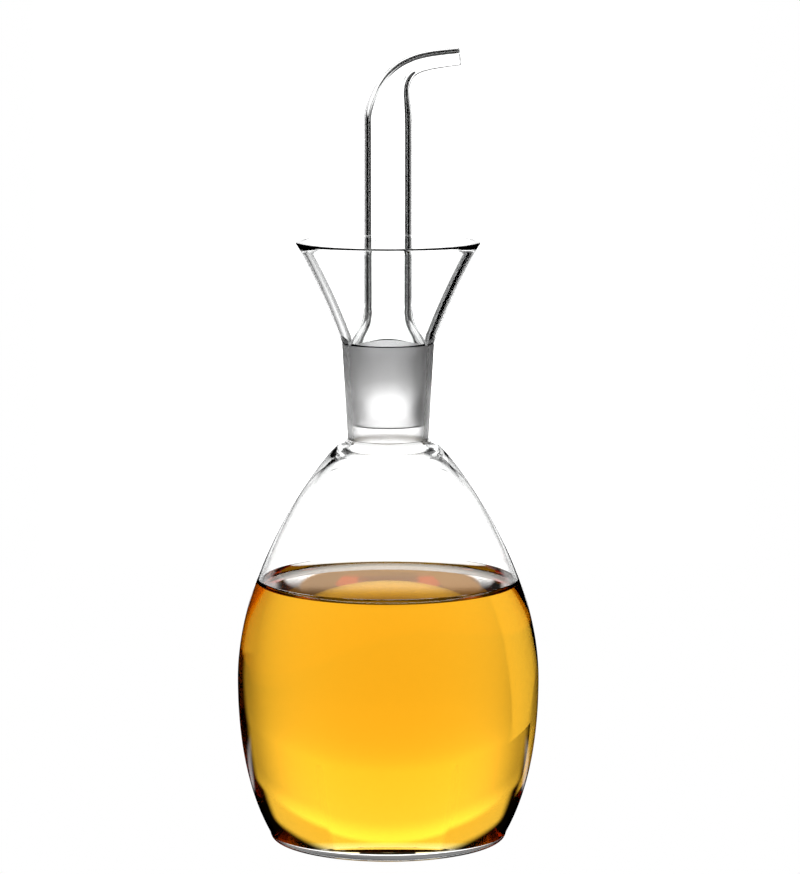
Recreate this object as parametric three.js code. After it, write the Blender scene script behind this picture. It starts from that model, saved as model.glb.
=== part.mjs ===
// A blown borosilicate oil bottle: a heart-shaped vessel whose neck is a ground-glass socket inside
// a drip funnel, and a lift-out pourer whose hollow ground plug ends in a fine bent spout.
// Millimetres, +Z up. The origin is the centre of the resting face, and the spout points along +X.
import * as THREE from "three";
import { mergeVertices } from "three/addons/utils/BufferGeometryUtils.js";

// ---- driving dimensions -------------------------------------------------------------------
const SEGMENTS = 40; // sides of a turned part, a multiple of 4 so quarter turns map it onto itself
const SEAM = 0.3; // clearance left where two pieces of glass are fused, seated or wetted by oil

// Vessel
const BELLY_RADIUS = 46;
const BELLY_Z = 48.8;
const REST_RADIUS = 35.4; // outer edge of the ring it stands on
const PUNT_RADIUS = 25; // the floor is pushed up inside this radius
const PUNT_RISE = 5;
const HEEL = [36.3, 1.7]; // end of the small heel round
const FLANK_PULL_Z = 19.4; // steers the curve from the heel up to the belly
const SHOULDER_PULL_Z = 81.2; // steers the curve from the belly up to the neck
const NECK_PULL = [23.4, 113.5];
const SHOULDER_END = [15.1, 121.3];
const NECK_ROOT_Z = 122.8; // the shoulder turns sharply up into the neck here
const THROAT_RADIUS = 10.7;
const THROAT_ROUND = 1.6; // how far down the round between throat and shoulder starts
const THROAT_LIP = 0.9; // how far off the shoulder's own line that round stays
const VESSEL_WALL = 0.9; // blown thinnest at the belly
const NECK_GATHER = 2; // how much thicker the wall is where it meets the neck
const NECK_GATHER_Z = 100; // the height it starts to thicken at
const FLOOR_GATHER = 0.3; // how much thicker it is at the floor
const FLOOR_GATHER_Z = 10; // the height that thickening ends at
const INNER_HEEL = 4; // how far outside the punt the floor meets the wall's round

// Ground joint: a standard 1:10 taper, 24 mm across its large end
const JOINT_TOP_Z = 152;
const JOINT_TOP_RADIUS = 12;
const JOINT_TAPER = 0.05; // radius lost per millimetre down
const SOCKET_OUTER_TOP = 14.05;
const SOCKET_OUTER_BOTTOM = 12.3;

// Drip funnel
const FUNNEL_RIM = [27.9, 182.7];
const FUNNEL_PULL = [19.7, 167.4]; // steers its slight flare
const FUNNEL_WALL = 2.1;

// Pourer
const PLUG_BOTTOM_Z = 127;
const PLUG_WALL = 2;
const TUBE_RADIUS = 7.35;
const TUBE_WALL = 1.4;
const TUBE_FOOT_Z = 163;
const SHOULDER_LEAN = 1.6; // these three steer the S-curve from the plug in to the tube
const SHOULDER_RISE = 2.6;
const TUBE_PULL = 5.6;
const BEND_START_Z = 217;
const NECKED_RADIUS = 3.5; // the nozzle once it has been drawn down
const TIP_RADIUS = 2.7;
const TIP_WALL = 1;

// Oil
const OIL_LEVEL_Z = 77.9;
const MENISCUS_RISE = 2.2;
const MENISCUS_REACH = 4; // how far in from the wall the surface is level again
const MENISCUS_ROUND = 0.8; // how steeply it leaves the wall

// ---- small helpers --------------------------------------------------------------------------
const at = (radius, z) => new THREE.Vector2(radius, z);

// Points along a quadratic or cubic Bezier through the given [radius, z] pairs.
function bezier(steps, ...pairs) {
  const points = pairs.map((pair) => at(...pair));
  const Curve = points.length === 3 ? THREE.QuadraticBezierCurve : THREE.CubicBezierCurve;
  return new Curve(...points).getPoints(steps);
}

// The same outline moved inwards by a wall that may change along it.
function inset(outline, wallAt) {
  return outline.map((point, i) => {
    const before = outline[Math.max(i - 1, 0)];
    const after = outline[Math.min(i + 1, outline.length - 1)];
    const along = after.clone().sub(before).normalize();
    const wall = wallAt(point, i / (outline.length - 1));
    return at(point.x - along.y * wall, point.y + along.x * wall);
  });
}

// A solid turned about Z from an outline that starts and ends on the axis or closes on itself.
function turned(outline, closed = false) {
  const points = closed ? [...outline, outline[0].clone()] : outline;
  const geometry = new THREE.LatheGeometry(points, SEGMENTS);
  geometry.rotateX(Math.PI / 2);
  geometry.deleteAttribute("normal");
  geometry.deleteAttribute("uv");
  return mergeVertices(geometry, 1e-4);
}

// A ring wall from its outer and inner outlines, both listed from the bottom up.
function ringWall(outer, inner) {
  return turned([...outer, ...inner.slice().reverse()], true);
}

function piece(name, geometry, color, roughness, opacity) {
  const material = new THREE.MeshStandardMaterial({
    color,
    roughness,
    metalness: 0,
    opacity,
    transparent: true,
  });
  const mesh = new THREE.Mesh(geometry, material);
  mesh.name = name;
  return mesh;
}

const clearGlass = (name, geometry) => piece(name, geometry, 0xf2f5f6, 0.03, 0.35);
const groundGlass = (name, geometry) => piece(name, geometry, 0xd9dcde, 0.6, 0.7);

// Radius of the ground seat at a height, with half the seam on each side of it.
const seatRadius = (z) => JOINT_TOP_RADIUS - JOINT_TAPER * (JOINT_TOP_Z - z);

// ---- bottle -----------------------------------------------------------------------------------
// Outer outline of the vessel from the resting ring to the end of its shoulder.
function vesselOutline() {
  const heel = bezier(2, [REST_RADIUS, 0], [HEEL[0] - 0.2, 0.2], HEEL);
  const flank = bezier(6, HEEL, [BELLY_RADIUS, FLANK_PULL_Z], [BELLY_RADIUS, BELLY_Z]);
  const shoulder = bezier(
    10,
    [BELLY_RADIUS, BELLY_Z],
    [BELLY_RADIUS, SHOULDER_PULL_Z],
    NECK_PULL,
    SHOULDER_END,
  );
  return [...heel, ...flank.slice(1), ...shoulder.slice(1)];
}

// Wall of the vessel at a height: gathered at the floor and at the neck.
function wallAtHeight(z) {
  const nearNeck = Math.max(0, (z - NECK_GATHER_Z) / (SHOULDER_END[1] - NECK_GATHER_Z)) ** 3;
  const nearFloor = 1 - THREE.MathUtils.smoothstep(z, 0, FLOOR_GATHER_Z);
  return VESSEL_WALL + NECK_GATHER * nearNeck + FLOOR_GATHER * nearFloor;
}

// Inner outline of the vessel from the middle of its floor to the end of its shoulder.
function cavityOutline(extra = 0) {
  const floorZ = wallAtHeight(0) + extra;
  const walls = inset(vesselOutline(), (point) => wallAtHeight(point.y) + extra);
  const sides = walls.filter((point) => point.y > floorZ + 2);
  const floor = bezier(
    5,
    [0, PUNT_RISE + floorZ],
    [PUNT_RADIUS, PUNT_RISE + floorZ],
    [PUNT_RADIUS + INNER_HEEL, floorZ],
    [sides[0].x, sides[0].y],
  );
  return [...floor, ...sides.slice(1)];
}

function vessel() {
  const punt = bezier(4, [0, PUNT_RISE], [PUNT_RADIUS * 0.6, PUNT_RISE], [PUNT_RADIUS, 0]);
  const cavity = cavityOutline().reverse();
  const throat = bezier(
    4,
    [THROAT_RADIUS, NECK_ROOT_Z],
    [THROAT_RADIUS, NECK_ROOT_Z - THROAT_ROUND],
    [cavity[0].x - THROAT_LIP, cavity[0].y + THROAT_LIP],
    [cavity[0].x, cavity[0].y],
  );
  const outline = [
    ...punt,
    ...vesselOutline(),
    at(SOCKET_OUTER_BOTTOM + 0.1, NECK_ROOT_Z),
    ...throat,
    ...cavity.slice(1),
  ];
  return clearGlass("vessel", turned(outline));
}

// The oil wets the vessel's wall and climbs it a little at the surface.
function oil() {
  const contactZ = OIL_LEVEL_Z + MENISCUS_RISE;
  const walls = cavityOutline(SEAM);
  const dry = walls.findIndex((point) => point.y > contactZ);
  const wetted = walls.slice(0, dry);
  const share = (contactZ - walls[dry - 1].y) / (walls[dry].y - walls[dry - 1].y);
  const contact = walls[dry - 1].clone().lerp(walls[dry], share);
  const surface = bezier(
    3,
    [contact.x, contact.y],
    [contact.x - MENISCUS_ROUND, OIL_LEVEL_Z],
    [contact.x - MENISCUS_REACH, OIL_LEVEL_Z],
  );
  const outline = [...wetted, ...surface, at(0, OIL_LEVEL_Z)];
  return piece("oil", turned(outline), 0xf0a818, 0.05, 0.85);
}

function neckSocket() {
  const bottom = NECK_ROOT_Z + SEAM;
  const outer = [at(SOCKET_OUTER_BOTTOM, bottom), at(SOCKET_OUTER_TOP, JOINT_TOP_Z)];
  const inner = [
    at(seatRadius(bottom) + SEAM / 2, bottom),
    at(seatRadius(JOINT_TOP_Z) + SEAM / 2, JOINT_TOP_Z),
  ];
  return groundGlass("neck_socket", ringWall(outer, inner));
}

function dripFunnel() {
  const foot = [SOCKET_OUTER_TOP, JOINT_TOP_Z + SEAM];
  const outer = bezier(5, foot, FUNNEL_PULL, FUNNEL_RIM);
  const inner = inset(outer, () => FUNNEL_WALL);
  inner[0].y = foot[1];
  inner[inner.length - 1].y = FUNNEL_RIM[1];
  return clearGlass("drip_funnel", ringWall(outer, inner));
}

// ---- pourer -------------------------------------------------------------------------------------
function groundPlug() {
  const radius = (z) => seatRadius(z) - SEAM / 2;
  const outer = [
    at(radius(PLUG_BOTTOM_Z) - 0.5, PLUG_BOTTOM_Z),
    at(radius(PLUG_BOTTOM_Z + 0.6), PLUG_BOTTOM_Z + 0.6),
    at(radius(JOINT_TOP_Z), JOINT_TOP_Z),
  ];
  const inner = [
    at(radius(PLUG_BOTTOM_Z) - PLUG_WALL, PLUG_BOTTOM_Z),
    at(radius(JOINT_TOP_Z) - PLUG_WALL, JOINT_TOP_Z),
  ];
  return groundGlass("ground_plug", ringWall(outer, inner));
}

// The clear shoulder draws in from the plug to the riser tube along an S-curve.
function plugShoulder() {
  const foot = JOINT_TOP_Z + SEAM;
  const wide = JOINT_TOP_RADIUS - SEAM / 2;
  const outer = bezier(
    6,
    [wide, foot],
    [wide - SHOULDER_LEAN, foot + SHOULDER_RISE],
    [TUBE_RADIUS, TUBE_FOOT_Z - TUBE_PULL],
    [TUBE_RADIUS, TUBE_FOOT_Z],
  );
  const inner = inset(outer, (point, share) => PLUG_WALL + (TUBE_WALL - PLUG_WALL) * share);
  inner[0].y = foot;
  inner[inner.length - 1].y = TUBE_FOOT_Z;
  return clearGlass("plug_shoulder", ringWall(outer, inner));
}

function riserTube() {
  const bottom = TUBE_FOOT_Z + SEAM;
  const wall = (radius) => [at(radius, bottom), at(radius, BEND_START_Z)];
  return clearGlass("riser_tube", ringWall(wall(TUBE_RADIUS), wall(TUBE_RADIUS - TUBE_WALL)));
}

// The nozzle is turned straight, then laid along the bend while it is drawn down to its tip.
const BEND = new THREE.CatmullRomCurve3(
  [
    [0, BEND_START_Z + SEAM],
    [0, 220],
    [0.5, 224],
    [1.3, 227.6],
    [2.7, 231],
    [5.1, 234],
    [8.2, 235.9],
    [12, 237],
    [16.5, 237.7],
    [21.2, 238.2],
  ].map(([x, z]) => new THREE.Vector3(x, 0, z)),
  false,
  "centripetal",
);

// Outer radius of the nozzle at a share of its length: full at first, then drawn down quickly.
function nozzleRadius(share) {
  const drawn = THREE.MathUtils.smoothstep(share, 0.04, 0.62);
  return TUBE_RADIUS + (NECKED_RADIUS - TUBE_RADIUS) * drawn - (NECKED_RADIUS - TIP_RADIUS) * share;
}

function bentNozzle() {
  const steps = 14;
  const shares = Array.from({ length: steps + 1 }, (_, i) => i / steps);
  const wall = (share) => TUBE_WALL + (TIP_WALL - TUBE_WALL) * share;
  const outer = shares.map((share) => at(nozzleRadius(share), share));
  const inner = shares.map((share) => at(nozzleRadius(share) - wall(share), share));
  const geometry = ringWall(outer, inner);
  const position = geometry.getAttribute("position");
  const point = new THREE.Vector3();
  for (let i = 0; i < position.count; i++) {
    point.fromBufferAttribute(position, i);
    const centre = BEND.getPointAt(THREE.MathUtils.clamp(point.z, 0, 1));
    const along = BEND.getTangentAt(THREE.MathUtils.clamp(point.z, 0, 1));
    const across = new THREE.Vector3(along.z, 0, -along.x);
    centre.addScaledVector(across, point.x);
    position.setXYZ(i, centre.x, point.y, centre.z);
  }
  return clearGlass("bent_nozzle", geometry);
}

// ---- assembly -----------------------------------------------------------------------------------
const bottle = new THREE.Group();
bottle.add(vessel(), neckSocket(), dripFunnel(), oil());

const pourer = new THREE.Group();
pourer.add(groundPlug(), plugShoulder(), riserTube(), bentNozzle());

const oilBottle = new THREE.Group();
oilBottle.add(bottle, pourer);

export default oilBottle;
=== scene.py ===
"""Looks of a blown-glass oil bottle with a ground-joint pourer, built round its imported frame.

Metres, +Z up, the bottle standing at the origin with its spout along +X. Each turned piece of
glass is drawn as an outline of Bezier stretches and spun about Z; the nozzle is drawn as a
straight tapered tube and then laid along its bend.
"""

import logging
import math
from collections.abc import Callable, Iterable, Sequence
from dataclasses import dataclass
from enum import Enum

import bpy
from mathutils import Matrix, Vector


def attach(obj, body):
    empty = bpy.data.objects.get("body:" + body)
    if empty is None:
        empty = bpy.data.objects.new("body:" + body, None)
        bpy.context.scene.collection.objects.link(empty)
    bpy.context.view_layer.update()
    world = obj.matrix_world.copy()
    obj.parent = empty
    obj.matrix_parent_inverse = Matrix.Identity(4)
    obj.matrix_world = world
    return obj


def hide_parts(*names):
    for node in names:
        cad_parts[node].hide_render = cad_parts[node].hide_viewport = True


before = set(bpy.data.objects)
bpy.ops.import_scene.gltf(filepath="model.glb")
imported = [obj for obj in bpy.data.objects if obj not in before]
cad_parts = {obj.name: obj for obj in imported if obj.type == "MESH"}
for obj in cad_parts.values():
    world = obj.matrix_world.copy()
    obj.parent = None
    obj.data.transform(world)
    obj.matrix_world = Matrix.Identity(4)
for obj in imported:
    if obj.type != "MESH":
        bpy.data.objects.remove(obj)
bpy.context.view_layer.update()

log = logging.getLogger("oil_bottle")

MM = 0.001
WETTED = "wetted"  # face attribute: 1 where glass and oil touch
WHITE = (1.0, 1.0, 1.0, 1.0)
MERGE_M = 1e-6  # vertices closer than this are one
REPEAT_MM = 1e-7  # an outline's point closer than this to the last one repeats it
SHARP_DEG = 40  # edges that turn by more than this stay sharp

Point = tuple[float, float]
Outline = list[Point]
Span = tuple[float, float]
Colour = tuple[float, float, float, float]


class Body(Enum):
    """The moving bodies of the bottle."""

    BOTTLE = "bottle"
    PLUG = "pourer_plug"
    SPOUT = "pourer_spout"


class Slot(Enum):
    """The material slots of the library record."""

    CLEAR = "clear_glass"
    GROUND = "ground_glass"
    OIL = "golden_oil"


# ---- shader graph helpers -------------------------------------------------------------------


class Graph:
    """A node tree, with a single way to make nodes."""

    def __init__(self, tree: bpy.types.NodeTree) -> None:
        """Take over a tree and empty it."""
        self.tree = tree
        self.tree.nodes.clear()

    def node(self, kind: str, settings: dict | None = None, **sockets: object) -> bpy.types.Node:
        """Add a node, set its settings and then fill its sockets.

        Args:
            kind: the node type's identifier.
            settings: attributes to set before the sockets, such as an operation.
            **sockets: input name, with _ for a space, to a value or a Value.

        Returns:
            The new node.
        """
        made = self.tree.nodes.new(kind)
        for key, value in (settings or {}).items():
            setattr(made, key, value)
        for key, value in sockets.items():
            socket = self._socket(made.inputs, key)
            if isinstance(value, Value):
                self.tree.links.new(value.socket, socket)
            else:
                socket.default_value = value
        return made

    @staticmethod
    def _socket(sockets: bpy.types.bpy_prop_collection, key: int | str) -> bpy.types.NodeSocket:
        """Find a socket by its place, by in_ and its place, by its name, or by its identifier."""
        if isinstance(key, int):
            return sockets[key]
        if key.startswith("in_"):
            return sockets[int(key[3:])]
        exact = [socket for socket in sockets if socket.identifier == key]
        return exact[0] if exact else sockets[key.replace("_", " ")]

    def value(
        self, kind: str, output: int | str, settings: dict | None = None, **sockets: object
    ) -> "Value":
        """Add a node and wrap one of its outputs as a Value."""
        return Value(self, self._socket(self.node(kind, settings, **sockets).outputs, output))

    def place(self) -> "Value":
        """Return the point's place on the object, in metres."""
        return self.value("ShaderNodeTexCoord", "Object")

    def noise(self, vector: "Value", scale: float, detail: float = 2.0) -> "Value":
        """Return smooth noise between 0 and 1 at so many waves per metre."""
        return self.value(
            "ShaderNodeTexNoise", 0, Vector=vector, Scale=scale, Detail=detail, Roughness=0.5
        )

    def bump(self, height: "Value", distance: float) -> "Value":
        """Return the normal of a surface raised by height, which spans distance in metres."""
        return self.value("ShaderNodeBump", 0, Strength=1.0, Distance=distance, Height=height)

    def facing(self) -> "Value":
        """Return how edge-on the ray meets the surface, from 0 square on to 1."""
        return self.value("ShaderNodeLayerWeight", "Facing", Blend=0.5)

    def ray(self, kind: str) -> "Value":
        """Return 1 for rays of a kind, such as Camera or Transmission, and 0 for the others."""
        return self.value("ShaderNodeLightPath", f"Is_{kind}_Ray")

    def blend(self, factor: "Value", low: Colour, high: Colour) -> "Value":
        """Return a colour that goes from low to high as the factor goes from 0 to 1."""
        return self.value(
            "ShaderNodeMix", "Result_Color", {"data_type": "RGBA"},
            Factor_Float=factor, A_Color=low, B_Color=high,
        )

    def mix(
        self, factor: "Value", first: bpy.types.Node, second: bpy.types.Node
    ) -> bpy.types.Node:
        """Mix two shaders: the first where the factor is 0, and the second where it is 1."""
        mixed = self.node("ShaderNodeMixShader", Fac=factor)
        self.tree.links.new(first.outputs[0], mixed.inputs[1])
        self.tree.links.new(second.outputs[0], mixed.inputs[2])
        return mixed

    def glass(self, ior: float, **sockets: object) -> bpy.types.Node:
        """Add the shader of a clear, smooth substance.

        Args:
            ior: how strongly it bends light.
            **sockets: what differs from clear and smooth.

        Returns:
            The shader.
        """
        clear = {"Base_Color": WHITE, "Roughness": 0.0}
        return self.node(
            "ShaderNodeBsdfPrincipled", IOR=ior, Transmission_Weight=1.0, **(clear | sockets)
        )


class MaterialGraph(Graph):
    """The node tree of one new material."""

    def __init__(self, name: str) -> None:
        """Start an empty material called name."""
        self.material = bpy.data.materials.new(name)
        self.material.use_nodes = True
        super().__init__(self.material.node_tree)

    def unbent_where_wet(self, shader: bpy.types.Node) -> bpy.types.Node:
        """Let light straight through the faces where glass and oil touch, which bend it alike.

        Args:
            shader: the surface's shader everywhere else.

        Returns:
            The mix of the two.
        """
        wet = self.value("ShaderNodeAttribute", "Fac", {"attribute_name": WETTED})
        return self.mix(wet, shader, self.glass(1.0))

    def finish(
        self, surface: bpy.types.Node, volume: bpy.types.Node | None = None
    ) -> bpy.types.Material:
        """Send the last shaders to the material's output and return the material."""
        output = self.node("ShaderNodeOutputMaterial")
        self.tree.links.new(surface.outputs[0], output.inputs["Surface"])
        if volume:
            self.tree.links.new(volume.outputs[0], output.inputs["Volume"])
        return self.material


class Value:
    """A socket that Python expressions can be written on."""

    def __init__(self, graph: Graph, socket: bpy.types.NodeSocket) -> None:
        """Wrap an output socket of a graph."""
        self.graph = graph
        self.socket = socket

    def _math(self, operation: str, *terms: object) -> "Value":
        """Add a Math node on terms, which are numbers or Values."""
        sockets = {f"in_{i}": term for i, term in enumerate(terms)}
        return self.graph.value("ShaderNodeMath", 0, {"operation": operation}, **sockets)

    def __add__(self, other: object) -> "Value":
        """Return self + other."""
        return self._math("ADD", self, other)

    __radd__ = __add__

    def __sub__(self, other: object) -> "Value":
        """Return self - other."""
        return self._math("SUBTRACT", self, other)

    def __rsub__(self, other: object) -> "Value":
        """Return other - self."""
        return self._math("SUBTRACT", other, self)

    def __mul__(self, other: object) -> "Value":
        """Return self * other."""
        return self._math("MULTIPLY", self, other)

    __rmul__ = __mul__

    def step(self, low: float, high: float, start: float = 0.0, end: float = 1.0) -> "Value":
        """Return a smooth step from start to end as self goes from low to high."""
        return self.graph.value(
            "ShaderNodeMapRange",
            0,
            {"interpolation_type": "SMOOTHSTEP"},
            Value=self,
            From_Min=low,
            From_Max=high,
            To_Min=start,
            To_Max=end,
        )

    def stretched(self, x: float, y: float, z: float) -> "Value":
        """Return this vector multiplied along each axis."""
        return self.graph.value(
            "ShaderNodeVectorMath", 0, {"operation": "MULTIPLY"}, in_0=self, in_1=(x, y, z)
        )

    def part(self, axis: str) -> "Value":
        """Return the X, Y or Z of this vector."""
        return self.graph.value("ShaderNodeSeparateXYZ", axis, Vector=self)

    def radius(self) -> "Value":
        """Return this point's distance from the Z axis."""
        flat = self.stretched(1, 1, 0)
        return self.graph.value("ShaderNodeVectorMath", "Value", {"operation": "LENGTH"}, in_0=flat)

    def level(self) -> "Value":
        """Return this vector's level direction, with a length of 1."""
        flat = self.stretched(1, 1, 0)
        return self.graph.value("ShaderNodeVectorMath", 0, {"operation": "NORMALIZE"}, in_0=flat)

    def along(self, azimuth: float, turn: float = 0.0) -> "Value":
        """Return how far this vector reaches behind the bottle, for one who looks at it.

        Args:
            azimuth: where the bottle is looked at from, in degrees.
            turn: 90 to measure across that direction instead.
        """
        angle = math.radians(azimuth + turn)
        return self.graph.value(
            "ShaderNodeVectorMath", "Value", {"operation": "DOT_PRODUCT"},
            in_0=self, in_1=(-math.sin(angle), math.cos(angle), 0),
        )

    def within(self, half_width: float, soft: float) -> "Value":
        """Mark the values within half_width of 0, with edges that fade over soft."""
        return (self * self).within_square(half_width, soft)

    def within_square(self, limit: float, soft: float) -> "Value":
        """Mark where this, the square of a distance, is that of one under the limit."""
        return self.step((limit + soft) ** 2, (limit - soft) ** 2)


def most(*terms: Value) -> Value:
    """Return the largest of some values."""
    made = terms[0]
    for term in terms[1:]:
        made = made.graph.value("ShaderNodeMath", 0, {"operation": "MAXIMUM"}, in_0=made, in_1=term)
    return made


# ---- finishes -------------------------------------------------------------------------------


@dataclass
class GroundJoint:
    """The tapered seat that the plug and the socket share. Millimetres."""

    top_z: float = 152.0
    top_radius: float = 12.0
    taper: float = 0.05
    seam: float = 0.06

    def radius(self, z: float) -> float:
        """Radius of the seat at a height."""
        return self.top_radius - self.taper * (self.top_z - z)


@dataclass(frozen=True)
class ClearGlass:
    """Fire-polished borosilicate with the slow waves of a blown surface. Metres."""

    name: str = "clear_glass"
    tint: Colour = (0.995, 1.0, 0.998, 1.0)
    # painted shade: the dark grey that the glass is given where it is seen edge-on, for the dark
    # lines along its edges
    edge_tint: Colour = (0.22, 0.225, 0.225, 1.0)
    edge_facing: Span = (0.70, 0.92)
    # painted shade: heights below which the foot of the heel is painted dark, for the dark line along
    # the base
    painted_heel_shade_heights: Span = (0.0014, 0.0006)
    ior: float = 1.47
    waves_per_metre: float = 38.0
    wave_stretch: float = 0.45
    wave_height: float = 0.00012

    def build(self) -> bpy.types.Material:
        """Make the material."""
        graph = MaterialGraph(self.name)
        place = graph.place()
        drawn = place.stretched(1, 1, self.wave_stretch)
        bump = graph.bump(graph.noise(drawn, self.waves_per_metre, detail=1.0), self.wave_height)
        # painted shade: darker where the glass is seen edge-on and at the foot of the heel, mixed
        # into its tint
        edge = graph.facing().step(*self.edge_facing) + place.part("Z").step(*self.painted_heel_shade_heights)
        tint = graph.blend(edge, self.tint, self.edge_tint)
        shader = graph.glass(self.ior, Base_Color=tint, Normal=bump)
        return graph.finish(graph.unbent_where_wet(shader))


@dataclass(frozen=True)
class GroundGlass:
    """Glass whose seat face is ground to a fine frost, its other face left polished.

    The middle of its wall stands the offset, in millimetres, out from the joint's seat. The rest
    is in metres. The frost is finer and has no veil below the line where oil has wetted it.
    """

    name: str
    joint: GroundJoint
    offset: float
    frost_inside: bool
    ior: float = 1.47
    frost: float = 0.64
    wet_frost: float = 0.30
    frost_unevenness: float = 0.12
    dry_tint: Colour = (0.80, 0.80, 0.805, 1.0)
    wet_from: float = 0.134
    dry_from: float = 0.143
    veiled_from: float = 0.151
    wet_line_wander: float = 0.010
    streaks_per_metre: float = 70.0
    streak_stretch: float = 0.4
    grains_per_metre: float = 2600.0
    grain_height: float = 0.00001
    face_soft: float = 0.0001

    def build(self) -> bpy.types.Material:
        """Make the material."""
        graph = MaterialGraph(self.name)
        place = graph.place()
        height = place.part("Z")
        middle = self.joint.taper * height + (self.joint.radius(0.0) + self.offset) * MM
        away = place.radius() - middle
        if self.frost_inside:
            away = 0.0 - away
        ground = away.step(-self.face_soft, self.face_soft)
        grain = graph.noise(place, self.grains_per_metre)
        streaks = graph.noise(place.stretched(1, 1, self.streak_stretch), self.streaks_per_metre)
        wet_line = height + self.wet_line_wander * (streaks - 0.5)
        frost = wet_line.step(self.wet_from, self.dry_from, self.wet_frost, self.frost)
        frosted = ground * (frost + self.frost_unevenness * (grain - 0.5))
        veil = wet_line.step(self.wet_from, self.veiled_from) * ground
        tone = graph.blend(veil, WHITE, self.dry_tint)
        bump = graph.bump(grain * ground, self.grain_height)
        return graph.finish(graph.glass(self.ior, Base_Color=tone, Roughness=frosted, Normal=bump))


@dataclass(frozen=True)
class GoldenOil:
    """Clear golden oil that takes up blue light first and green next."""

    name: str = "golden_oil"
    ior: float = 1.47
    density: float = 62.0
    lets_through: Colour = (0.96, 0.816, 0.19, 1.0)
    mirrors: Colour = (0.95, 0.76, 0.52, 1.0)

    def build(self) -> bpy.types.Material:
        """Make the material."""
        graph = MaterialGraph(self.name)
        shader = graph.glass(self.ior, Specular_Tint=self.mirrors)
        volume = graph.node(
            "ShaderNodeVolumeAbsorption", Color=self.lets_through, Density=self.density
        )
        return graph.finish(graph.unbent_where_wet(shader), volume)


# ---- modelling helpers ----------------------------------------------------------------------


def bezier(steps: int, *corners: Point) -> Outline:
    """Points along a Bezier curve.

    Args:
        steps: how many stretches to cut it into.
        *corners: three or four (radius, z) control points.

    Returns:
        The points, both ends included.
    """
    degree = len(corners) - 1
    made = []
    for i in range(steps + 1):
        t = i / steps
        weights = [math.comb(degree, k) * (1 - t) ** (degree - k) * t**k for k in range(degree + 1)]
        made.append(tuple(sum(w * c[axis] for w, c in zip(weights, corners)) for axis in (0, 1)))
    return made


def smooth(low: float, high: float, x: float) -> float:
    """Rise smoothly from 0 to 1 as x goes from low to high."""
    t = min(max((x - low) / (high - low), 0.0), 1.0)
    return t * t * (3 - 2 * t)


def inset(outline: Outline, wall: Callable[[float], float]) -> Outline:
    """Move an outline sideways, towards its left as it is walked.

    Args:
        outline: the points to move.
        wall: thickness at a height.

    Returns:
        The moved points.
    """
    moved = []
    last = len(outline) - 1
    for i, (radius, z) in enumerate(outline):
        (r0, z0), (r1, z1) = outline[max(i - 1, 0)], outline[min(i + 1, last)]
        length = math.hypot(r1 - r0, z1 - z0)
        thick = wall(z)
        moved.append((radius - (z1 - z0) / length * thick, z + (r1 - r0) / length * thick))
    return moved


def arc(centre: Point, radius: float, start: float, end: float, steps: int) -> Outline:
    """Points on a round edge, from one angle to another, in degrees from the radial direction."""
    made = []
    for i in range(steps + 1):
        angle = math.radians(start + (end - start) * i / steps)
        made.append((centre[0] + radius * math.cos(angle), centre[1] + radius * math.sin(angle)))
    return made


def straight(start: Point, end: Point, steps: int) -> Outline:
    """Evenly spaced points between two others, both included."""
    return [
        tuple(a + (b - a) * i / steps for a, b in zip(start, end)) for i in range(steps + 1)
    ]


def joined(*runs: Outline) -> Outline:
    """Runs of points one after another, with a point that repeats the last one left out."""
    made: Outline = []
    for run in runs:
        for point in run:
            if not made or math.dist(made[-1], point) > REPEAT_MM:
                made.append(point)
    return made


def spun(name: str, outline: Outline, closed: bool, steps: int = 160) -> bpy.types.Object:
    """Spin an outline about Z into a closed piece, as by hand.

    Args:
        name: the piece's name.
        outline: (radius, z) points in millimetres, walked with the glass on the left.
        closed: True for a ring, whose outline closes on itself; False when both ends are on the axis.
        steps: how many sides it is turned with.

    Returns:
        The new object, at the origin.
    """
    bpy.ops.object.select_all(action="DESELECT")
    bpy.ops.mesh.primitive_plane_add(size=1, location=(0, 0, 0))
    piece = bpy.context.object
    piece.name = piece.data.name = name
    bpy.ops.object.mode_set(mode="EDIT")
    bpy.ops.mesh.select_all(action="SELECT")
    bpy.ops.mesh.merge(type="CENTER")
    points = [Vector((radius * MM, 0, z * MM)) for radius, z in outline]
    bpy.ops.transform.translate(value=points[0])
    for before, after in zip(points, points[1:]):
        bpy.ops.mesh.extrude_region_move(TRANSFORM_OT_translate={"value": after - before})
    bpy.ops.mesh.select_all(action="SELECT")
    if closed:
        close_chain(piece)
    bpy.ops.mesh.spin(steps=steps, angle=math.tau, center=(0, 0, 0), axis=(0, 0, 1))
    bpy.ops.mesh.select_all(action="SELECT")
    bpy.ops.mesh.remove_doubles(threshold=MERGE_M)
    bpy.ops.mesh.normals_make_consistent(inside=False)
    bpy.ops.object.mode_set(mode="OBJECT")
    bpy.ops.object.shade_smooth_by_angle(angle=math.radians(SHARP_DEG))
    return piece


def close_chain(piece: bpy.types.Object) -> None:
    """Join the two loose ends of a chain of edges that is being edited."""
    bpy.ops.mesh.select_all(action="DESELECT")
    bpy.ops.object.mode_set(mode="OBJECT")
    uses = [0] * len(piece.data.vertices)
    for edge in piece.data.edges:
        for index in edge.vertices:
            uses[index] += 1
    for vertex in piece.data.vertices:
        vertex.select = uses[vertex.index] == 1
    bpy.ops.object.mode_set(mode="EDIT")
    bpy.ops.mesh.edge_face_add()
    bpy.ops.mesh.select_all(action="SELECT")


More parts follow.
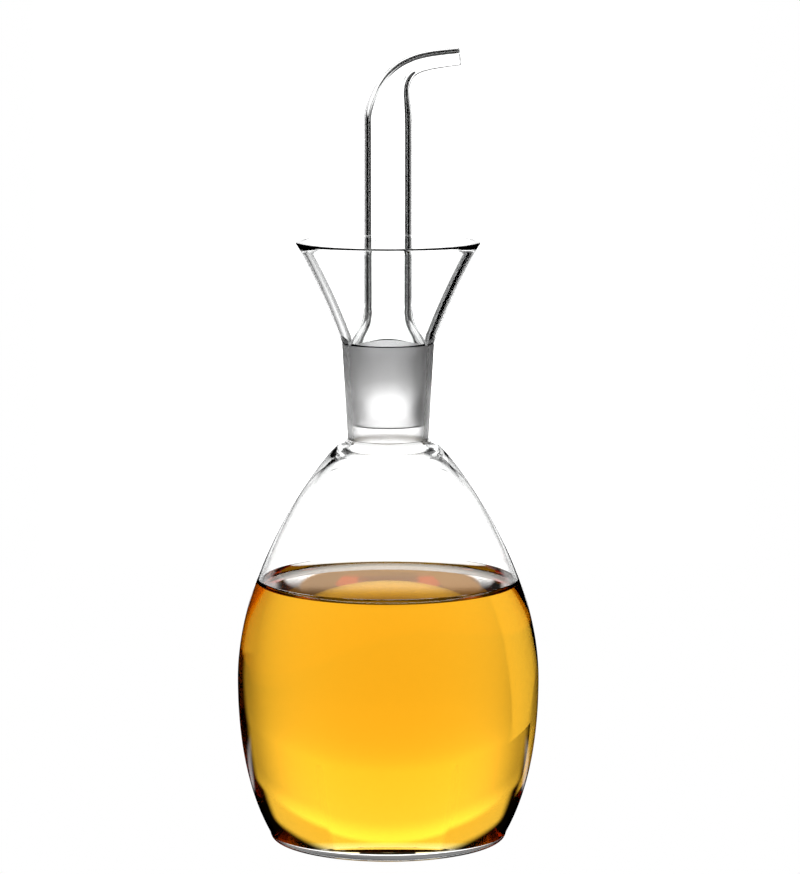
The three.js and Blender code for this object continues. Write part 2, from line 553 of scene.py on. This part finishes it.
def mark_wetted(piece: bpy.types.Object, is_wet: Callable[[Vector, Vector], bool]) -> None:
    """Mark the faces where glass and oil touch.

    Args:
        piece: the finished piece.
        is_wet: tells it from a face's centre, in metres, and its normal.
    """
    marks = piece.data.attributes.new(WETTED, "FLOAT", "FACE")
    for polygon in piece.data.polygons:
        marks.data[polygon.index].value = float(is_wet(polygon.center, polygon.normal))


def outwards(centre: Vector, normal: Vector) -> float:
    """How far a face's normal points away from the Z axis, from -1 to 1."""
    flat = Vector((centre.x, centre.y, 0)).normalized()
    return flat.dot(normal)


def dress(
    piece: bpy.types.Object, material: bpy.types.Material, slot: Slot, body: Body, *nodes: str
) -> None:
    """Give a finished piece its material and its place in the frame.

    Args:
        piece: the finished piece.
        material: what it is made of.
        slot: the record's slot for that material; not used.
        body: the body that it moves with.
        *nodes: the CAD nodes that it stands for.
    """
    piece.data.materials.clear()
    piece.data.materials.append(material)
    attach(piece, body.value)
    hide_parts(*nodes)
    log.info("%s: %d faces", piece.name, len(piece.data.polygons))


# ---- bottle ---------------------------------------------------------------------------------


@dataclass
class Bottle:
    """The fused bottle: vessel, neck socket and drip funnel. Millimetres."""

    joint: GroundJoint
    glass: bpy.types.Material
    rest_radius: float = 35.4
    heel_pull: Point = (36.1, 0.2)
    heel: Point = (36.3, 1.7)
    flank_pull: Point = (46.0, 19.4)
    belly: Point = (46.0, 48.8)
    shoulder_pull: Point = (46.0, 81.2)
    neck_pull: Point = (23.4, 113.5)
    shoulder_end: Point = (15.1, 121.3)
    neck_root: Point = (12.4, 122.8)
    throat_radius: float = 10.7
    throat_round: float = 1.6
    throat_lip: float = 0.9
    wall: float = 0.9
    neck_gather: float = 2.0
    neck_gather_z: float = 100.0
    floor_gather: float = 0.3
    floor_gather_z: float = 10.0
    punt_radius: float = 25.0
    punt_rise: float = 5.0
    punt_level: float = 0.6
    inner_heel: float = 4.0
    inner_heel_rise: float = 2.0
    oil_contact: float = 80.1
    socket_top_radius: float = 14.05
    socket_foot_radius: float = 12.3
    socket_middle: float = 0.8
    funnel_pull: Point = (19.7, 167.4)
    funnel_rim: Point = (27.9, 182.7)
    funnel_wall: float = 2.1
    funnel_step: float = 0.1
    rim_round: float = 0.45
    wetted_inwards: float = 0.2
    wetted_upwards: float = 0.6

    def flank(self) -> Outline:
        """Outer outline from the resting ring to the end of the shoulder."""
        heel = bezier(6, (self.rest_radius, 0), self.heel_pull, self.heel)
        side = bezier(36, self.heel, self.flank_pull, self.belly)
        shoulder = bezier(60, self.belly, self.shoulder_pull, self.neck_pull, self.shoulder_end)
        return joined(heel, side, shoulder)

    def wall_at(self, z: float) -> float:
        """Wall at a height: blown thin at the belly, gathered at the floor and the neck."""
        top, start = self.shoulder_end[1], self.neck_gather_z
        near_neck = max(0.0, (z - start) / (top - start)) ** 3
        near_floor = smooth(self.floor_gather_z, 0, z)
        return self.wall + self.neck_gather * near_neck + self.floor_gather * near_floor

    def cavity(self, extra: float = 0.0) -> Outline:
        """Inner outline from the middle of the floor to the end of the shoulder.

        Args:
            extra: how far inside the real wall it runs.
        """
        floor_z = self.wall_at(0) + extra
        sides = inset(self.flank(), lambda z: self.wall_at(z) + extra)
        sides = [p for p in sides if p[1] > floor_z + self.inner_heel_rise]
        floor = bezier(
            28,
            (0, self.punt_rise + floor_z),
            (self.punt_radius, self.punt_rise + floor_z),
            (self.punt_radius + self.inner_heel, floor_z),
            sides[0],
        )
        return joined(floor, sides)

    def vessel(self) -> bpy.types.Object:
        """Build the blown vessel."""
        pull = (self.punt_radius * self.punt_level, self.punt_rise)
        punt = bezier(16, (0, self.punt_rise), pull, (self.punt_radius, 0))
        ring = straight(punt[-1], (self.rest_radius, 0), 6)
        top = self.neck_root[1]
        cavity = self.cavity()
        radius, z = cavity[-1]
        throat = bezier(
            10,
            (self.throat_radius, top),
            (self.throat_radius, top - self.throat_round),
            (radius - self.throat_lip, z + self.throat_lip),
            (radius, z),
        )
        outline = joined(punt, ring, self.flank(), [self.neck_root], throat, cavity[::-1])
        piece = spun("vessel_glass", outline, closed=False)
        mark_wetted(piece, self.is_wetted)
        return piece

    def is_wetted(self, centre: Vector, normal: Vector) -> bool:
        """Tell whether a face of the vessel faces in, below the line that the oil reaches."""
        inwards = -outwards(centre, normal)
        faces_in = inwards > self.wetted_inwards or normal.z > self.wetted_upwards
        return centre.z < self.oil_contact * MM and faces_in

    def socket(self) -> bpy.types.Object:
        """Build the neck, ground inside."""
        bottom, top = self.neck_root[1], self.joint.top_z
        half = self.joint.seam / 2
        outer = straight((self.socket_foot_radius, bottom), (self.socket_top_radius, top), 12)
        inner = straight(
            (self.joint.radius(top) + half, top), (self.joint.radius(bottom) + half, bottom), 12
        )
        return spun("neck_socket_glass", joined(outer, inner), closed=True)

    def funnel(self) -> bpy.types.Object:
        """Build the drip funnel with its fire-polished rim."""
        foot = (self.socket_top_radius, self.joint.top_z)
        out, up = (end - start for start, end in zip(self.funnel_pull, self.funnel_rim))
        rim = self.rim(math.degrees(math.atan(up / out)))
        outer = bezier(24, foot, self.funnel_pull, rim[0])
        inner = inset(outer, lambda z: self.funnel_wall)
        inner[0] = (self.joint.radius(foot[1]) + self.funnel_step, foot[1])
        return spun("drip_funnel_glass", joined(outer, rim, inner[-2::-1]), closed=True)

    def rim(self, lean: float) -> Outline:
        """Outline the rim from its outer edge to its inner one: level, with small rounds.

        Args:
            lean: the funnel's slope there, in degrees.
        """
        edge = self.rim_round
        outer = (self.funnel_rim[0] - edge, self.funnel_rim[1] - edge)
        inner = (self.funnel_rim[0] - self.funnel_wall + edge, outer[1])
        return joined(arc(outer, edge, lean - 90, 90, 6), arc(inner, edge, 90, lean + 90, 6))

    def build(self) -> None:
        """Build and dress the three pieces."""
        ground = GroundGlass(
            "ground_socket", self.joint, self.socket_middle, frost_inside=True
        ).build()
        dress(self.vessel(), self.glass, Slot.CLEAR, Body.BOTTLE, "vessel")
        dress(self.socket(), ground, Slot.GROUND, Body.BOTTLE, "neck_socket")
        dress(self.funnel(), self.glass, Slot.CLEAR, Body.BOTTLE, "drip_funnel")


@dataclass
class OilFill:
    """The oil, which wets the wall and climbs it at the surface. Millimetres."""

    bottle: Bottle
    level: float = 77.9
    meniscus_reaches: Sequence[float] = (0.3, 0.9, 4.0)
    gap: float = 0.04
    surface_soft: float = 0.01
    wetted_outwards: float = 0.5

    def build(self) -> None:
        """Build and dress the oil."""
        wetted = self.bottle.cavity(extra=self.gap)
        contact_z = self.bottle.oil_contact
        under = [p for p in wetted if p[1] < contact_z]
        (r0, z0), (r1, z1) = under[-1], wetted[len(under)]
        share = (contact_z - z0) / (z1 - z0)
        contact = (r0 + (r1 - r0) * share, contact_z)
        level_points = [(contact[0] - reach, self.level) for reach in self.meniscus_reaches]
        surface = bezier(12, contact, *level_points)
        flat = straight(surface[-1], (0, self.level), 10)
        piece = spun("golden_oil_fill", joined(under, surface, flat), closed=False)
        mark_wetted(piece, self.is_wetted)
        dress(piece, GoldenOil().build(), Slot.OIL, Body.BOTTLE, "oil")


    def is_wetted(self, centre: Vector, normal: Vector) -> bool:
        """Tell whether a face of the oil touches the glass, not the air."""
        under = centre.z < (self.level - self.surface_soft) * MM
        return under or outwards(centre, normal) > self.wetted_outwards


# ---- pourer ---------------------------------------------------------------------------------


@dataclass
class Pourer:
    """The lift-out pourer: ground plug, shoulder, tube and drawn nozzle. Millimetres."""

    joint: GroundJoint
    glass: bpy.types.Material
    plug_bottom: float = 127.0
    plug_wall: float = 2.0
    plug_middle: float = -1.0
    tube_radius: float = 7.35
    tube_wall: float = 1.4
    tube_foot: float = 163.0
    shoulder_lean: float = 1.6
    shoulder_rise: float = 2.6
    tube_pull: float = 5.6
    necked_radius: float = 3.5
    necked_shares: Span = (0.04, 0.62)
    tip_radius: float = 2.7
    tip_wall: float = 0.9
    bend: Sequence[Point] = (
        (0, 217.3), (0, 220), (0.5, 224), (1.3, 227.6), (2.7, 231),
        (5.1, 234), (8.2, 235.9), (12, 237), (16.5, 237.7), (21.2, 238.2),
    )
    bend_cuts: int = 16
    nozzle_cuts: int = 60
    sides: int = 96

    @property
    def bend_start(self) -> float:
        """Height at which the bend leaves the tube."""
        return self.bend[0][1]

    def plug(self) -> bpy.types.Object:
        """Build the hollow plug, ground outside."""
        half, lip_radius = self.joint.seam / 2, self.plug_wall / 2
        low, top = self.plug_bottom + lip_radius, self.joint.top_z
        outer_low = self.joint.radius(self.plug_bottom) - half
        outer_top = self.joint.radius(top) - half
        lip = arc((outer_low - lip_radius, low), lip_radius, -180, 0, 12)
        outer = straight((outer_low, low), (outer_top, top), 12)
        inner = straight((outer_top - self.plug_wall, top), (outer_low - self.plug_wall, low), 12)
        return spun("ground_plug_glass", joined(lip, outer, inner), closed=True)

    def nozzle_radius(self, share: float) -> float:
        """Outer radius at a share of the bend's length: full at first, then drawn down quickly."""
        drawn = (self.necked_radius - self.tube_radius) * smooth(*self.necked_shares, share)
        return self.tube_radius + drawn - (self.necked_radius - self.tip_radius) * share

    def spout(self) -> bpy.types.Object:
        """Build the shoulder, tube and nozzle as the one run of glass that they are."""
        half = self.joint.seam / 2
        foot, wide = self.joint.top_z, self.joint.top_radius - half
        shoulder = bezier(
            24,
            (wide, foot),
            (wide - self.shoulder_lean, foot + self.shoulder_rise),
            (self.tube_radius, self.tube_foot - self.tube_pull),
            (self.tube_radius, self.tube_foot),
        )
        tube = straight(shoulder[-1], (self.tube_radius, self.bend_start), 24)
        length = self.bend_length()
        shares = [i / self.nozzle_cuts for i in range(self.nozzle_cuts + 1)]
        nozzle = [(self.nozzle_radius(s), self.bend_start + s * length) for s in shares]
        outer = joined(shoulder, tube, nozzle)
        inner = [(radius - self.wall_at(z, length), z) for radius, z in outer]
        end = outer[-1]
        lip = arc((end[0] - self.tip_wall / 2, end[1]), self.tip_wall / 2, 0, 180, 8)
        outline = joined(outer, lip, inner[::-1])
        piece = spun("spout_glass", outline, closed=True, steps=self.sides)
        self.lay_along_bend(piece, length)
        return piece

    def wall_at(self, z: float, length: float) -> float:
        """Wall of the spout at a height, before it is bent.

        Args:
            z: the height.
            length: length of the bend.
        """
        if z < self.tube_foot:
            share = (z - self.joint.top_z) / (self.tube_foot - self.joint.top_z)
            return self.plug_wall + (self.tube_wall - self.plug_wall) * share
        share = max(0.0, (z - self.bend_start) / length)
        return self.tube_wall + (self.tip_wall - self.tube_wall) * share

    def bend_points(self) -> list[Vector]:
        """Close points along the bend, on a smooth curve through its handful of points."""
        corners = [Vector((x, 0, z)) for x, z in self.bend]
        padded = [2 * corners[0] - corners[1], *corners, 2 * corners[-1] - corners[-2]]
        made = []
        for a, b, c, d in zip(padded, padded[1:], padded[2:], padded[3:]):
            slope, turn, twist = c - a, 2 * a - 5 * b + 4 * c - d, 3 * b - a - 3 * c + d
            for i in range(self.bend_cuts):
                t = i / self.bend_cuts
                made.append(0.5 * (2 * b + slope * t + turn * t * t + twist * t**3))
        made.append(corners[-1])
        return made

    def bend_length(self) -> float:
        """Length of the bend."""
        points = self.bend_points()
        return sum((b - a).length for a, b in zip(points, points[1:]))

    def lay_along_bend(self, piece: bpy.types.Object, length: float) -> None:
        """Move the straight nozzle's points onto the bend.

        Args:
            piece: the spout, still straight.
            length: length of the bend.
        """
        points = self.bend_points()
        lengths = [0.0]
        for a, b in zip(points, points[1:]):
            lengths.append(lengths[-1] + (b - a).length)
        for vertex in piece.data.vertices:
            x, y, z = (c / MM for c in vertex.co)
            along = z - self.bend_start
            if along <= 0:
                continue
            clamped = min(along, length)
            i = next(k for k in range(1, len(lengths)) if lengths[k] >= clamped - 1e-9)
            share = (clamped - lengths[i - 1]) / (lengths[i] - lengths[i - 1])
            centre = points[i - 1].lerp(points[i], share)
            before = points[max(i - 2, 0)]
            after = points[min(i + 1, len(points) - 1)]
            tangent = (after - before).normalized()
            across = Vector((tangent.z, 0, -tangent.x))
            at = centre + across * x + tangent * (along - clamped)
            vertex.co = Vector((at.x, y, at.z)) * MM
        piece.data.update()

    def build(self) -> None:
        """Build and dress the two pieces."""
        ground = GroundGlass(
            "ground_plug", self.joint, self.plug_middle, frost_inside=False
        ).build()
        dress(self.plug(), ground, Slot.GROUND, Body.PLUG, "ground_plug")
        drawn = ("plug_shoulder", "riser_tube", "bent_nozzle")
        dress(self.spout(), self.glass, Slot.CLEAR, Body.SPOUT, *drawn)


# ---- stage ----------------------------------------------------------------------------------


def cosines(*degrees: float) -> list[float]:
    """Return the cosines of some angles."""
    return [math.cos(math.radians(angle)) for angle in degrees]


def sines(*degrees: float) -> list[float]:
    """Return the sines of some angles."""
    return [math.sin(math.radians(angle)) for angle in degrees]


@dataclass(frozen=True)
class Strip:
    """A lit strip of paper on the table, running out from the bottle. Metres and degrees.

    It lies behind the bottle for one who looks from the azimuth.
    """

    azimuth: float
    half_width: float
    far: float
    near: float = 0.03
    soft: float = 0.012
    near_fade: float = 0.06
    far_fade: float = 0.02

    def mark(self, place: Value) -> Value:
        """Mark the points of the table that are on the strip."""
        out = place.along(self.azimuth)
        across = place.along(self.azimuth, 90).within(self.half_width, self.soft)
        begun = out.step(self.near - self.near_fade, self.near)
        return across * begun * out.step(self.far + self.far_fade, self.far)


@dataclass(frozen=True)
class Window:
    """A lit stretch of the far wall, behind the bottle for one who looks from the azimuth.

    Degrees. It is lit to one half span and fades out at another, between two elevations. Its
    middle is dark within the gap.
    """

    azimuth: float
    lit: float
    dark: float
    low: float
    high: float
    fade: float = 4.0
    gap: float = 0.0
    gap_fade: float = 3.0

    def mark(self, way: Value) -> Value:
        """Mark the directions that end on the window."""
        facing = way.level().along(self.azimuth)
        across = facing.step(*cosines(self.dark, self.lit))
        if self.gap:
            across = across * facing.step(*cosines(self.gap - self.gap_fade, self.gap))
        height = way.part("Z")
        above = height.step(*sines(self.low - self.fade, self.low))
        return across * above * height.step(*sines(self.high + self.fade, self.high))


@dataclass(frozen=True)
class Fan:
    """A fan of level directions, behind the bottle for one who looks from the azimuth. Degrees.

    It is dark beyond one half span and lit within another, where it rises from the edge's share
    of its light to all of it in the middle.
    """

    azimuth: float
    dark: float = 50.0
    lit: float = 38.0
    edge: float = 0.6

    def mark(self, place: Value) -> Value:
        """Mark the points of the table that lie in the fan."""
        facing = place.level().along(self.azimuth)
        dark, lit, middle = cosines(self.dark, self.lit, 0)
        return facing.step(dark, lit) * facing.step(lit, middle, self.edge, 1.0)


@dataclass(frozen=True)
class Sheen:
    """A fan of the table's sheen, from near out. Degrees and metres.

    It is lit for rays that meet the table at one slope and dark at the other. The slopes it has
    when none are given light it for every ray.
    """

    fan: Fan
    lit: float = 0.0
    dark: float = -5.0
    near: float = 0.0
    near_fade: float = 0.03

    def mark(self, place: Value, slope: Value) -> Value:
        """Mark the points that shine.

        Args:
            place: the point's place.
            slope: the sine of the angle that the ray meets the table at.
        """
        shining = self.fan.mark(place)
        if self.near:
            shining = shining * place.radius().step(self.near - self.near_fade, self.near)
        return shining * slope.step(*sines(self.dark, self.lit))


@dataclass(frozen=True)
class RingLight:
    """The light that the oil's surface mirrors: a disc in a ring that is hot at its foot.

    Metres, degrees and strengths. It is a circle stretched across and down, drawn on the panel in
    a frame, and it is lit only for the rays that rise steeply enough.
    """

    height: float = 0.1658
    stretch: Span = (1.43, 0.31)
    disc_radius: float = 0.0345
    disc_drop: float = -0.006
    disc_soft: float = 0.0015
    ring_radius: float = 0.043
    ring_drop: float = 0.014
    ring_soft: float = 0.002
    outside: float = 0.03
    top: float = 0.15
    ring_foot: float = 4.4
    ring_drops: Span = (-0.010, 0.020)
    disc_foot: float = 1.17
    disc_drops: Span = (-0.016, 0.0)
    disc_tone: Colour = (1.0, 0.70, 0.47, 1.0)
    frame_half_width: float = 0.070
    frame_width_soft: float = 0.004
    frame_half_height: float = 0.026
    frame_height_soft: float = 0.001
    frame_drop: float = 0.009
    rising_deg: Span = (8.7, 9.2)

    def answered(self, graph: Graph, place: Value) -> Value:
        """Mark the rising rays that meet the panel within the frame."""
        rising = graph.facing().step(*(1.0 - cosine for cosine in cosines(*self.rising_deg)))
        across = place.part("X").within(self.frame_half_width, self.frame_width_soft)
        up = place.part("Z") - self.height + self.frame_drop
        return rising * across * up.within(self.frame_half_height, self.frame_height_soft)

    def drawn(self, place: Value) -> tuple[Value, Value]:
        """Draw the disc and the ring.

        Args:
            place: the point's place on the panel.

        Returns:
            The light's strength, and 1 on the disc and 0 off it.
        """
        across = place.part("X") * (1 / self.stretch[0])
        drop = (self.height - place.part("Z")) * (1 / self.stretch[1])
        disc_away, ring_away = (drop - shift for shift in (self.disc_drop, self.ring_drop))
        on_disc = (across * across + disc_away * disc_away).within_square(
            self.disc_radius, self.disc_soft
        )
        on_ring = (across * across + ring_away * ring_away).within_square(
            self.ring_radius, self.ring_soft
        )
        ring = drop.step(*self.ring_drops, self.top, self.ring_foot)
        disc = drop.step(*self.disc_drops, self.top, self.disc_foot)
        lit = on_disc * disc + (1.0 - on_disc) * ring
        return (1.0 - on_ring) * self.outside + on_ring * lit, on_disc


@dataclass
class Studio:
    """A white table, a lit panel behind the bottle, and lit strips and windows on other sides.

    Metres, degrees and strengths.
    """

    strips: Sequence[Strip] = (
        Strip(0, 0.142, far=0.51),
        Strip(90, 0.100, near=0.04, far=0.95),
        Strip(225, 0.090, far=0.95),
        Strip(45, 0.060, far=0.95),
    )
    windows: Sequence[Window] = (
        Window(0, 45, 54, 4, 16, gap=17),
        Window(90, 14, 20, -6, 3, fade=1),
        Window(90, 24, 34, -1, 12, fade=2),
        Window(225, 14, 20, -25, -7, fade=1),
    )
    sheens: Sequence[Sheen] = (
        Sheen(Fan(90, 44, 30), 14.0, 16.0, near=0.06),
        Sheen(Fan(45), 24.5, 23.5),
        Sheen(Fan(225, 20, 14)),
        Sheen(Fan(45, 20, 14)),
    )
    back: Fan = Fan(0, 58, 48, 0.42)
    ring: RingLight = RingLight()
    sides: int = 96
    bright: float = 1.3
    dim: float = 0.003
    far_gain: float = 1.35
    far_gain_from: float = 0.2
    table_radius: float = 0.95
    table_drop: float = 0.0004
    # painted shadow: within these radii under the bottle the table glows at only the under share of
    # its light, for rays through the glass
    shadow_radii: Span = (0.038, 0.050)
    under: float = 0.25
    passed_heights: Span = (0.077, 0.071)
    mirror_deg: Span = (15.5, 17.0)
    mirror_fan_deg: Span = (64, 56)
    mirror_radii: Span = (0.066, 0.078)
    mirror_gain: float = 0.6
    panel_distance: float = 0.5
    panel_half_width: float = 0.142
    panel_margin: float = 0.03
    panel_height: float = 0.30
    panel_soft: float = 0.012
    warm: float = 2.4
    warm_heights: Span = (0.055, 0.095)
    warm_fade: float = 0.016
    above_warm: float = 0.65
    wall_radii: Span = (0.58, 0.54)
    wall_height: float = 0.11
    wall_soft: float = 0.02
    wall_facing: Span = (0.090, 0.080)
    hardly_lit: float = 0.01
    camera_distance: float = 1.1605
    camera_height: float = 0.2819
    axis_shift: float = 0.0036
    pitch_deg: float = 7.786
    lens: float = 159.0
    sensor: float = 36.0
    clip: Span = (0.01, 20.0)
    bounces: int = 40
    glossy_bounces: int = 16

    def table(self) -> None:
        """Lay the table top: white to the eye, and lit along its strips behind the glass."""
        bpy.ops.object.select_all(action="DESELECT")
        bpy.ops.mesh.primitive_circle_add(
            vertices=self.sides,
            radius=self.table_radius,
            fill_type="NGON",
            location=(0, 0, -self.table_drop),
        )
        top = bpy.context.object
        top.name = "table_top"
        graph = MaterialGraph("white_table")
        place = graph.place()
        radius = place.radius()
        slope = 1.0 - graph.facing()
        # painted shadow under the bottle, seen only through the glass
        clear = radius.step(*self.shadow_radii, self.under, 1.0)
        gain = radius.step(self.far_gain_from, self.panel_distance, 1.0, self.far_gain)
        low = (slope * radius).step(*self.passed_heights)
        main, *others = [strip.mark(place) for strip in self.strips]
        sheens = [sheen.mark(place, slope) for sheen in self.sheens]
        behind = [main * (1.0 - low) * gain, self.back.mark(place) * low * gain]
        through = clear * most(*behind, *others, *sheens)
        steep = slope.step(*sines(*self.mirror_deg)) * radius.step(*self.mirror_radii)
        fan = place.level().along(0).step(*cosines(*self.mirror_fan_deg))
        mirrored = steep * main * fan * self.mirror_gain
        graph.finish(self.glow(graph, through * self.bright, mirrored * self.bright))
        top.data.materials.append(graph.material)

    @staticmethod
    def glow(
        graph: Graph, behind_glass: Value, mirrored: Value | None = None, tone: object = WHITE
    ) -> bpy.types.Node:
        """Make light that is white to the camera and structured for what the glass shows.

        Args:
            graph: the tree to build in.
            behind_glass: what a ray that has come through glass finds.
            mirrored: what any ray finds, mirrored or not; nothing when left out.
            tone: the light's colour.

        Returns:
            The emission shader.
        """
        terms = [graph.ray("Camera"), behind_glass * graph.ray("Transmission")]
        if mirrored is not None:
            terms.append(mirrored)
        return graph.node("ShaderNodeEmission", Color=tone, Strength=most(*terms))

    def warmed(self, height: Value) -> Value:
        """Return the light of what stands at the back, which grows with height."""
        return height.step(*self.warm_heights, self.bright * self.far_gain, self.warm)

    def panel(self) -> None:
        """Stand the lit panel behind the bottle, with its ring light, open from its back."""
        bpy.ops.object.select_all(action="DESELECT")
        bpy.ops.mesh.primitive_plane_add(size=1, rotation=(math.radians(90), 0, 0))
        width = 2 * (self.panel_half_width + self.panel_margin)
        bpy.ops.transform.resize(value=(width, 1, self.panel_height))
        bpy.ops.transform.translate(value=(0, self.panel_distance, self.panel_height / 2))
        bpy.ops.object.transform_apply(location=True, rotation=True, scale=True)
        board = bpy.context.object
        board.name = "light_panel"
        graph = MaterialGraph("light_panel")
        place = graph.place()
        height = place.part("Z")
        inside = place.part("X").within(self.panel_half_width, self.panel_soft)
        top = height.step(self.panel_height, self.panel_height - self.panel_soft)
        warm_top = self.warm_heights[1]
        fading = height.step(warm_top + self.warm_fade, warm_top, self.above_warm, 1.0)
        answered = self.ring.answered(graph, place)
        ring, on_disc = self.ring.drawn(place)
        lit = top * (self.warmed(height) * fading * (1.0 - answered) + answered * ring)
        tone = graph.blend(answered * on_disc, WHITE, self.ring.disc_tone)
        shine = self.glow(graph, lit, lit, tone)
        clear = graph.node("ShaderNodeBsdfTransparent")
        backs = graph.value("ShaderNodeNewGeometry", "Backfacing")
        graph.finish(graph.mix(most(backs, 1.0 - inside), shine, clear))
        board.data.materials.append(graph.material)

    def low_wall(self) -> None:
        """Stand the low leaning wall that carries the lit table's edge up past the horizon."""
        bpy.ops.object.select_all(action="DESELECT")
        bpy.ops.mesh.primitive_cone_add(
            vertices=self.sides,
            radius1=self.wall_radii[0],
            radius2=self.wall_radii[1],
            depth=self.wall_height,
            end_fill_type="NOTHING",
            location=(0, 0, self.wall_height / 2),
        )
        bpy.ops.object.transform_apply(location=True)
        wall = bpy.context.object
        wall.name = "low_wall"
        graph = MaterialGraph("low_wall")
        place = graph.place()
        height = place.part("Z")
        inside = self.back.mark(place)
        top = height.step(self.wall_height, self.wall_height - self.wall_soft)
        lit = inside * self.warmed(height) * graph.facing().step(*self.wall_facing)
        clear = graph.node("ShaderNodeBsdfTransparent")
        shine = self.glow(graph, lit)
        graph.finish(graph.mix(inside.step(0.0, self.hardly_lit) * top, clear, shine))
        wall.data.materials.append(graph.material)

    def room(self) -> None:
        """Leave the room dark to the glass, but for the windows, and white to the camera."""
        world = bpy.data.worlds.new("studio")
        bpy.context.scene.world = world
        world.use_nodes = True
        graph = Graph(world.node_tree)
        way = graph.value("ShaderNodeTexCoord", "Generated")
        windows = most(*(window.mark(way) for window in self.windows))
        lit = windows * graph.ray("Transmission") * self.bright + self.dim
        strength = most(graph.ray("Camera"), lit)
        back = graph.node("ShaderNodeBackground", Color=WHITE, Strength=strength)
        output = graph.node("ShaderNodeOutputWorld")
        graph.tree.links.new(back.outputs[0], output.inputs["Surface"])

    def camera(self) -> None:
        """Stand the camera a little above the funnel, looking slightly down at the spout's side."""
        bpy.ops.object.camera_add(
            location=(self.axis_shift, -self.camera_distance, self.camera_height),
            rotation=(math.radians(90 - self.pitch_deg), 0, 0),
        )
        camera = bpy.context.object
        camera.name = "camera"
        camera.data.lens = self.lens
        camera.data.sensor_width = self.sensor
        camera.data.clip_start, camera.data.clip_end = self.clip
        bpy.context.scene.camera = camera

    def build(self) -> None:
        """Set up the stage, the camera and how light travels."""
        scene = bpy.context.scene
        scene.view_settings.view_transform = "Standard"
        scene.cycles.max_bounces = self.bounces
        scene.cycles.transmission_bounces = self.bounces
        scene.cycles.glossy_bounces = self.glossy_bounces
        scene.cycles.caustics_refractive = True
        scene.cycles.caustics_reflective = True
        self.table()
        self.panel()
        self.low_wall()
        self.room()
        self.camera()


def write_sizes() -> None:
    """Bring the scene's placements up to date."""
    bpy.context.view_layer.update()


def main() -> None:
    """Build the bottle, its oil, its pourer and the studio round them."""
    logging.basicConfig(level=logging.INFO, format="%(name)s %(message)s")
    joint = GroundJoint()
    glass = ClearGlass().build()
    bottle = Bottle(joint, glass)
    bottle.build()
    OilFill(bottle).build()
    Pourer(joint, glass).build()
    Studio().build()
    write_sizes()


if __name__ == "__main__":
    main()
